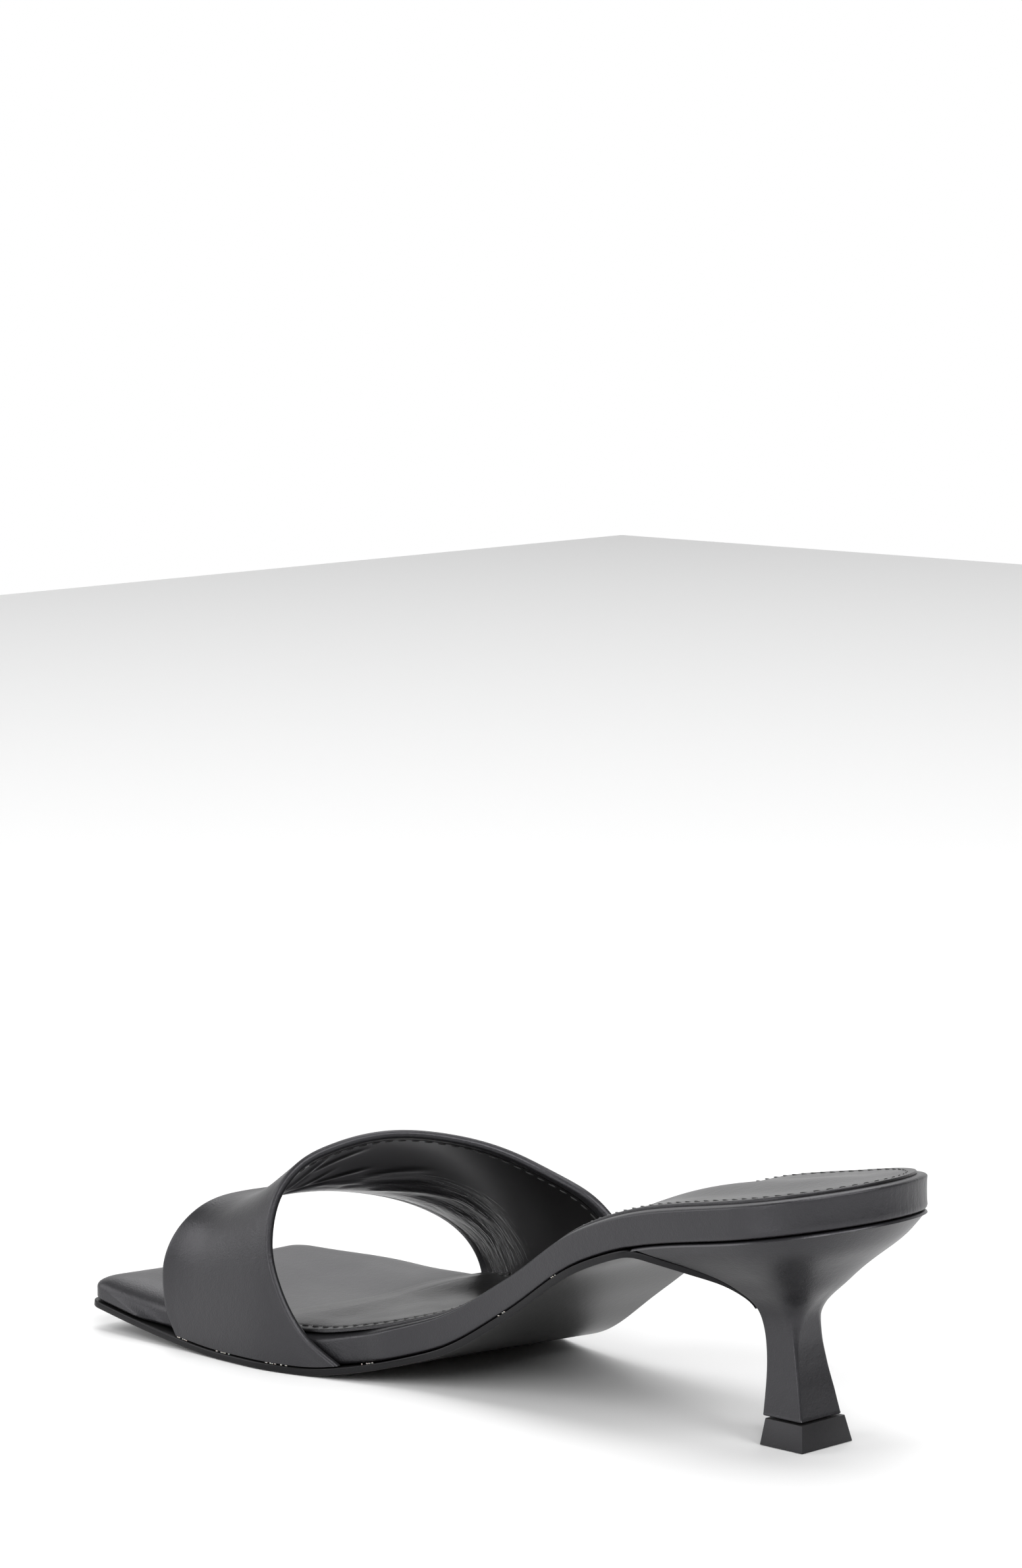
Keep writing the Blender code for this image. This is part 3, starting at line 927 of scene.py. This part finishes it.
thread = bpy.data.materials.new("thread_black")
thread.use_nodes = True
tree = thread.node_tree
shader = tree.nodes["Principled BSDF"]
fill(shader, {"Base Color": (0.005, 0.005, 0.005, 1), "Roughness": 0.5, "Sheen Weight": 0.3})
place = node(tree, "TexCoord")
twist = node(tree, "TexWave", Scale=1400)
twist.wave_type = "BANDS"
twist.bands_direction = "DIAGONAL"
relief = node(tree, "Bump", Strength=0.6, Distance=0.00005)
wire(tree, place, "Object", twist, "Vector")
wire(tree, twist, "Fac", relief, "Height")
wire(tree, relief, "Normal", shader, "Normal")


def point_at(spot, way, line):
    """Point of a line at a length along it."""
    return np.array([np.interp(spot, way, line[:, number]) for number in range(3)])


def stitch_row(name, line, normals, pitch, length, slant):
    """Stitches at even steps along a line on a surface, each sunk by half into it."""
    steps = np.linalg.norm(np.diff(line, axis=0), axis=1)
    way = np.concatenate([[0], np.cumsum(steps)])
    shape = bmesh.new()
    for spot in np.arange(pitch, way[-1] - pitch / 2, pitch):
        here = point_at(spot, way, line)
        normal = point_at(spot, way, normals)
        normal /= np.linalg.norm(normal)
        forward = point_at(spot + pitch / 4, way, line) - here
        forward -= normal * forward.dot(normal)
        forward /= np.linalg.norm(forward)
        side = np.cross(normal, forward)
        forward = forward * np.cos(slant) + side * np.sin(slant)
        side = np.cross(normal, forward)
        sides = (forward * length / 2, side * STITCH_WIDTH / 2, normal * STITCH_WIDTH / 2)
        placed = Matrix.Translation(here) @ Matrix(np.array(sides).T.tolist()).to_4x4()
        bmesh.ops.create_uvsphere(shape, u_segments=8, v_segments=6, radius=1, matrix=placed)
    finished(name, shape, thread)


collar_line, collar_normals = [], []
for row in range(4, STRAP_ROWS - 4):
    spot = from_front[row, -1] - COLLAR_STITCH
    normal = point_at(spot, from_front[row], outward[row])
    collar_line.append(point_at(spot, from_front[row], strap_outer[row]) - normal * STRAP_WALL)
    collar_normals.append(-normal)
stitch_row(
    "collar_stitches",
    np.array(collar_line),
    np.array(collar_normals),
    STITCH_PITCH,
    STITCH_LENGTH,
    COLLAR_SLANT,
)

# Heel: a moulded block covered in the strap's leather, square at the tip and round at the seat.
# The cover's upper edge shows as a thin line under the footbed, and its lower edge is turned in.
LIFT_HEIGHT = 0.0060
HEEL_TIP = LIFT_HEIGHT + CLEARANCE
HEEL_TOP_TURN = 0.0007
HEEL_TIP_TURN = 0.0003

# Heel sections: share of the way up, then shares of the seat's half width: reach to the back and
# to the front, half width, and the rounding of the back and of the front corners
HEEL = (
    (0.000, 0.178, 0.258, 0.250, 0.015, 0.015),
    (0.130, 0.133, 0.254, 0.224, 0.018, 0.015),
    (0.280, 0.080, 0.265, 0.193, 0.025, 0.018),
    (0.417, 0.052, 0.292, 0.180, 0.050, 0.020),
    (0.512, 0.060, 0.318, 0.195, 0.110, 0.020),
    (0.600, 0.150, 0.345, 0.262, 0.220, 0.020),
    (0.669, 0.300, 0.385, 0.375, 0.350, 0.020),
    (0.742, 0.450, 0.460, 0.505, 0.500, 0.020),
    (0.813, 0.625, 0.570, 0.670, 0.680, 0.020),
    (0.882, 0.820, 0.720, 0.830, 0.850, 0.020),
    (0.940, 0.930, 0.900, 0.930, 0.950, 0.025),
    (1.000, 1.033, 1.090, 0.978, 1.000, 0.030),
)
BACK, FORE, HALF, BACK_ROUND, FORE_ROUND = 1, 2, 3, 4, 5


def heel_size(column, height):
    return softened(HEEL, column, height, 0.03) * SEAT_HALF


def heel_height(x, height):
    return HEEL_TIP + height * (floor_of(x, 0.0) - CLEARANCE - HEEL_TIP)


def heel_line(height, inset, drop):
    """One line round the heel, from the middle of its front face round the back."""
    back = heel_size(BACK, height) - inset
    fore = heel_size(FORE, height) - inset
    half = heel_size(HALF, height) - inset
    back_round = np.minimum(heel_size(BACK_ROUND, height), back + fore)
    fore_round = heel_size(FORE_ROUND, height)
    wide = np.minimum(back_round, half)
    points = []
    for share in np.linspace(0, 1, 9)[:-1]:
        points.append((fore, share * (half - fore_round)))
    for turn in np.radians(np.linspace(0, 90, 6)):
        x = fore - fore_round * (1 - np.cos(turn))
        points.append((x, half - fore_round * (1 - np.sin(turn))))
    for share in np.linspace(0, 1, 15)[1:-1]:
        points.append((fore - fore_round + share * (back_round - back - fore + fore_round), half))
    for turn in np.radians(np.linspace(90, 180, 25)):
        points.append((-back + back_round * (1 + np.cos(turn)), half - wide * (1 - np.sin(turn))))
    for share in np.linspace(0, 1, 7)[1:]:
        points.append((-back, (1 - share) * (half - wide)))
    whole = points + [(x, -y) for x, y in points[::-1][1:]]
    return [(x, y, heel_height(x, height) - drop) for x, y in whole]


heel_rows = []
for turn in np.radians((0, 30, 60, 90)):
    inset = HEEL_TIP_TURN * (1 - np.sin(turn))
    heel_rows.append(heel_line(0.0, inset, HEEL_TIP_TURN * (np.cos(turn) - 1)))
for height in np.linspace(0, 1, 90)[1:-1]:
    heel_rows.append(heel_line(height, 0.0, 0.0))
for turn in np.radians((0, 30, 60, 90)):
    inset = HEEL_TOP_TURN * (1 - np.cos(turn))
    heel_rows.append(heel_line(1.0, inset, HEEL_TOP_TURN * (1 - np.sin(turn))))
heel_leather = leather(
    "heel_leather",
    dark=(0.007, 0.007, 0.008),
    light=(0.010, 0.010, 0.011),
    polished=0.32,
    dull=0.40,
    pores=2600,
    depth=0.00005,
    coat=0.15,
)
heel = skin("heel_cover", np.array(heel_rows), heel_leather)
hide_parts("heel")

# Outsole: one thin sheet of black sole leather, cemented under the footbed from the toe back.
# At the heel it turns down over the heel's front face as a flap that narrows with the heel.
FLAP_DOWN = 0.57
FLAP_UP = 0.985
FLAP_JOIN = 0.002
FLAP_SKIVE = 0.014
FLAP_THIN = 0.25
FLAP_FAN = 0.006
TURN_RUN = 0.018
SOLE_EDGE = 0.0003

heights = np.linspace(FLAP_DOWN, FLAP_UP, 60)
flap_x = heel_size(FORE, heights) + CLEARANCE
flap_z = heel_height(flap_x, heights)
flap_half = heel_size(HALF, heights) - CLEARANCE
shank_x = np.linspace(flap_x[-1] + FLAP_JOIN, TOE_END, 320)
path_x = np.concatenate([flap_x, shank_x])
path_z = np.concatenate([flap_z, floor_of(shank_x, 0.0) - CLEARANCE])
path_steps = np.hypot(np.diff(path_x), np.diff(path_z))
path_way = np.concatenate([[0], np.cumsum(path_steps)])
path_inner = np.concatenate([flap_half, half_width(shank_x, 1)])
path_outer = np.concatenate([flap_half, half_width(shank_x, -1)])
path_sole = np.concatenate([np.zeros_like(flap_x), np.ones_like(shank_x)])

sheet_way = np.linspace(0, path_way[-1], 480)
blur = np.exp(-(np.linspace(-2, 2, 11) ** 2))
blur /= blur.sum()


def along_path(values, rounds):
    """Values at even steps along the sheet, smoothed near the turn into the flap."""
    even = np.interp(sheet_way, path_way, values)
    calm = even.copy()
    for _ in range(rounds):
        before, after = 2 * calm[0] - calm[5:0:-1], 2 * calm[-1] - calm[-2:-7:-1]
        calm = np.convolve(np.concatenate([before, calm, after]), blur, "valid")
    turn_place = path_way[len(flap_x)]
    near = np.exp(-(((sheet_way - turn_place) / TURN_RUN) ** 4))
    return even + near * (calm - even)


sheet_x = along_path(path_x, 3)
sheet_z = along_path(path_z, 3)
sheet_inner = along_path(path_inner, 6)
sheet_outer = along_path(path_outer, 6)
sheet_sole = along_path(path_sole, 6)
ahead_x = np.gradient(sheet_x, sheet_way)
ahead_z = np.gradient(sheet_z, sheet_way)


def lay_sheet(way, y, depth):
    """Points of the outsole at a way along it, and a depth under its upper face."""
    x = np.interp(way, sheet_way, sheet_x)
    z = np.interp(way, sheet_way, sheet_z)
    sole = np.interp(way, sheet_way, sheet_sole)
    tilt = softened(PROFILE, 2, share_of(x)) * sole
    turn_x = np.interp(way, sheet_way, ahead_x)
    turn_z = np.interp(way, sheet_way, ahead_z)
    size = np.hypot(turn_x, turn_z)
    depth = depth * (FLAP_THIN + (1 - FLAP_THIN) * ease(way / FLAP_SKIVE))
    x_down = x + depth * turn_z / size
    z_down = z - depth * turn_x / size
    return np.stack([x_down - skew_of(x, y) * sole, y, z_down + tilt * y], axis=-1)


def sheet_rim(way, side, inset):
    """Edge of the outsole from the middle of the flap's end to the middle of the toe."""
    end_part, corner_in, side_part, corner_part = 0.03, 0.04, 0.92, 0.95
    front = sheet_way[-1] - inset
    first = np.clip(way / end_part, 0, 1)
    along = np.clip((way - corner_in) / (side_part - corner_in), 0, 1)
    bend = np.clip((way - side_part) / (corner_part - side_part), 0, 1) * np.pi / 2
    cross = np.clip((way - corner_part) / (1 - corner_part), 0, 1)
    spot = inset + (front - TOE_CORNER - inset) * along + TOE_CORNER * np.sin(bend)
    inner = np.interp(spot, sheet_way, sheet_inner) - inset
    outer = np.interp(spot, sheet_way, sheet_outer) - inset
    half = np.where(side > 0, inner, outer)
    middle = side * (inner - outer) / 2
    y = middle + (half - TOE_CORNER * (1 - np.cos(bend)) - middle) * first * (1 - cross)
    return spot, side * y, side * middle


ways, sides = half_ways(230)
profile = [(SOLE_EDGE, OUTSOLE_THICK, share) for share in (1.0, 0.66, 0.33, 0.12, 0.03, 0.0)]
for turn in np.radians((30, 60, 90)):
    depth = OUTSOLE_THICK - SOLE_EDGE * (1 - np.cos(turn))
    profile.append((SOLE_EDGE * (1 - np.sin(turn)), depth, 0.0))
for turn in np.radians((0, 30, 60, 90)):
    profile.append((SOLE_EDGE * (1 - np.cos(turn)), SOLE_EDGE * (1 - np.sin(turn)), 0.0))
profile += [(SOLE_EDGE, 0.0, share) for share in (0.03, 0.12, 0.33, 0.66, 1.0)]
sole_rows = []
for inset, depth, share in profile:
    spot, y, middle = sheet_rim(ways, sides, inset)
    spine = np.clip(spot, FLAP_FAN, sheet_way[-1] - TOE_FAN)
    sole_rows.append(lay_sheet(spot + share * (spine - spot), y + share * (middle - y), depth))
sole_leather = leather(
    "sole_leather",
    dark=(0.006, 0.006, 0.006),
    light=(0.007, 0.007, 0.007),
    polished=0.28,
    dull=0.28,
    pores=1800,
    depth=0.00002,
    coat=0.0,
)
fill(sole_leather.node_tree.nodes["Principled BSDF"], {"Specular IOR Level": 0.2})
outsole = skin("outsole_sheet", np.array(sole_rows), sole_leather)
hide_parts("outsole")

# Glue: pale specks of dried cement, left in the sole's joint along the inner side.
# They are flattened beads, pressed out between the strap's foot or the wrap and the outsole.
SPECK_SEED = 5
SPECK_WIDTH = 0.00016
SPECK_PROUD = 0.00005

# Runs of specks: share of the length where a run starts and ends, and how many there are
SPECKS = (
    (0.775, 0.800, 9),
    (0.840, 0.862, 8),
    (0.690, 0.722, 10),
    (0.600, 0.618, 6),
    (0.425, 0.440, 5),
    (0.350, 0.362, 4),
)
chance = np.random.default_rng(SPECK_SEED)
speck_shape = bmesh.new()
for start, end, count in SPECKS:
    for share in chance.uniform(start, end, count):
        x = place_of(share)
        on_strap = strap_edge(REAR, 0.0) < x < strap_edge(FRONT, 0.0)
        y = half_width(x, 1) - WELT + SPECK_PROUD
        y = y - (1 - on_strap) * recess(x, 1, RECESS_RUN_LOW)
        z = floor_of(x, y) - CLEARANCE / 2
        sizes = SPECK_WIDTH * chance.uniform((0.8, 0.6, 0.5), (3.0, 1.2, 1.1))
        spot = Matrix.Translation((float(x - skew_of(x, y)), float(y), float(z)))
        placed = spot @ Matrix.Diagonal((*sizes.tolist(), 1))
        bmesh.ops.create_icosphere(speck_shape, subdivisions=1, radius=1, matrix=placed)
glue = bpy.data.materials.new("dried_glue")
glue.use_nodes = True
tree = glue.node_tree
shader = tree.nodes["Principled BSDF"]
fill(shader, {"Roughness": 0.55, "Subsurface Weight": 0.1, "Subsurface Scale": 0.0005})
mottle = node(tree, "TexNoise", Scale=3000)
tint = node(tree, "Mix")
tint.data_type = "RGBA"
fill(tint, {6: (0.30, 0.27, 0.24, 1), 7: (0.62, 0.60, 0.57, 1)})
place = node(tree, "TexCoord")
wire(tree, place, "Object", mottle, "Vector")
wire(tree, mottle, "Fac", tint, 0)
wire(tree, tint, 2, shader, "Base Color")
finished("glue_specks", speck_shape, glue)

# Top lift: the hard black ground piece under the heel's tip, moulded with crisp edges.
# It is pinned on, and a hair wider than the cover above it, with a thin dark joint between them.
LIFT_BACK = 0.0066
LIFT_FRONT = 0.0063
LIFT_HALF = 0.0084
LIFT_TAPER = 0.0012
LIFT_EDGE = 0.00012

lift_shape = bmesh.new()
bmesh.ops.create_cube(lift_shape, size=1)
for corner in lift_shape.verts:
    taper = LIFT_TAPER * (corner.co.z > 0)
    fore = corner.co.x > 0
    corner.co.x = LIFT_FRONT - taper / 2 if fore else -LIFT_BACK + taper
    corner.co.y = (LIFT_HALF - taper) * np.sign(corner.co.y)
    corner.co.z = LIFT_HEIGHT * (corner.co.z > 0)
bmesh.ops.bevel(
    lift_shape,
    geom=lift_shape.edges[:],
    offset=LIFT_EDGE,
    segments=3,
    profile=0.5,
    affect="EDGES",
    material=-1,
)
lift_plastic = leather(
    "lift_plastic",
    dark=(0.006, 0.006, 0.006),
    light=(0.009, 0.009, 0.009),
    polished=0.46,
    dull=0.54,
    pores=3400,
    depth=0.00003,
    coat=0.0,
)
lift = finished("top_lift_block", lift_shape, lift_plastic, sharp=30)
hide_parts("top_lift")

# Sock: a soft padded leather cover, laid on the footbed from the heel to the ball.
# It is skived thin at its front end and stitched down round the heel and along both sides, a little
# inside its edge.
SOCK_THICK = 0.0007
SOCK_CROWN = 0.0011
SOCK_ROLL = 0.0012
SOCK_ROLL_RUN = 0.009
SOCK_MARGIN = 0.0036
SOCK_MARGIN_HEEL = 0.0024
MARGIN_END = 0.6
ROLL_START = 0.45
ROLL_GROWTH = 0.15
SKEW_FROM = 0.5
SOCK_EDGE = 0.0003
SOCK_REACH = 0.757
SOCK_SKEW = -0.0145
SOCK_SKIVE = 0.045
SOCK_SKIVE_FRONT = 0.009
SOCK_FRONT_THICK = 0.00015
SOCK_GAP = 0.00004
STITCH_INSET = 0.0022
STITCH_TROUGH = 0.00015
STITCH_PROUD = 0.00012
TROUGH_HALF = 0.0006
SOCK_PITCH = 0.0029
SOCK_STITCH = 0.0018
SOCK_SLANT = np.radians(9)
SEAM_END = 0.93
SEAM_STEPS = 300
SOCK_FRONT = place_of(SOCK_REACH) + WELT + SOCK_MARGIN


def lay_sock(x, y, rise, share):
    """Points of the sock on the footbed: crowned, and skived thin towards its slanted front."""
    ramp = np.clip((share_of(x) - SKEW_FROM) / (SOCK_REACH - SKEW_FROM), 0, 1) ** 2
    behind = place_of(SOCK_REACH) - x
    thin = (ease(behind / SOCK_SKIVE) + ease(behind / SOCK_SKIVE_FRONT)) / 2
    body = SOCK_FRONT_THICK / SOCK_THICK + (1 - SOCK_FRONT_THICK / SOCK_THICK) * thin
    dome = SOCK_CROWN * ease(share) * (rise > 0)
    top = FOOTBED_THICK + SOCK_GAP + outer_pad(x, y) + (rise + dome) * body
    return laid(x - SOCK_SKEW * ramp * y / BALL_WIDTH, y, top)


def sock_inset(gap):
    """Distance from the sole's edge, less round the heel than in front of it."""
    growth = SOCK_MARGIN - SOCK_MARGIN_HEEL
    return lambda x: WELT + SOCK_MARGIN_HEEL + growth * ease(share_of(x) / MARGIN_END) + gap


def stitch_trough(gap):
    return STITCH_TROUGH * np.exp(-(((gap - STITCH_INSET) / TROUGH_HALF) ** 2))


def sock_rise(level, gap):
    """Height over the footbed: soft padding rolls down to the edge in front of the arch."""
    roll = SOCK_ROLL * (1 - (1 - min(gap / SOCK_ROLL_RUN, 1)) ** 2)
    return lambda x: level + roll * ease((share_of(x) - ROLL_START) / ROLL_GROWTH)


sock_rows = [(sock_inset(0), 0.0, share, 0) for share in (1.0, 0.6, 0.3, 0.1, 0.0)]
for turn in np.radians((0, 30, 60, 90)):
    gap = SOCK_EDGE * (1 - np.cos(turn))
    height = SOCK_THICK - SOCK_EDGE * (1 - np.sin(turn))
    sock_rows.append((sock_inset(gap), sock_rise(height, gap), 0.0, 0))
for gap in np.linspace(SOCK_EDGE, SOCK_ROLL_RUN, 22)[1:]:
    height = SOCK_THICK - stitch_trough(gap)
    sock_rows.append((sock_inset(gap), sock_rise(height, gap), 0.0, 0))
for share in np.linspace(0, 1, 17)[1:]:
    rise = sock_rise(SOCK_THICK, SOCK_ROLL_RUN)
    sock_rows.append((sock_inset(SOCK_ROLL_RUN), rise, share, 0))
sock_points = layer(sock_rows, 240, SOCK_FRONT, lay_sock)
sock_leather = leather(
    "sock_leather",
    dark=(0.008, 0.008, 0.008),
    light=(0.012, 0.012, 0.012),
    polished=0.33,
    dull=0.41,
    pores=2200,
    depth=0.00009,
    coat=0.1,
)
sock = skin("sock_cover", sock_points, sock_leather)
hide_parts("sock")

seam_way = np.linspace(SEAM_END, 0, SEAM_STEPS)
seam_ways = np.concatenate([seam_way, seam_way[::-1][1:]])
seam_sides = np.concatenate([np.ones(SEAM_STEPS), -np.ones(SEAM_STEPS - 1)])
flat_x = rim(seam_ways, seam_sides, 0, SOCK_FRONT, 0)[0]
seam_inset = sock_inset(STITCH_INSET)(flat_x)
seam_x, seam_y = rim(seam_ways, seam_sides, seam_inset, SOCK_FRONT - seam_inset, 0)
seam_rise = sock_rise(SOCK_THICK - STITCH_TROUGH, STITCH_INSET)(seam_x)
seam_line = lay_sock(seam_x, seam_y, seam_rise, 0.0) + (0, 0, STITCH_PROUD)
seam_normals = np.tile((0.0, 0.0, 1.0), (len(seam_x), 1))
stitch_row(
    "sock_stitches", seam_line, seam_normals, SOCK_PITCH, SOCK_STITCH, SOCK_SLANT
)
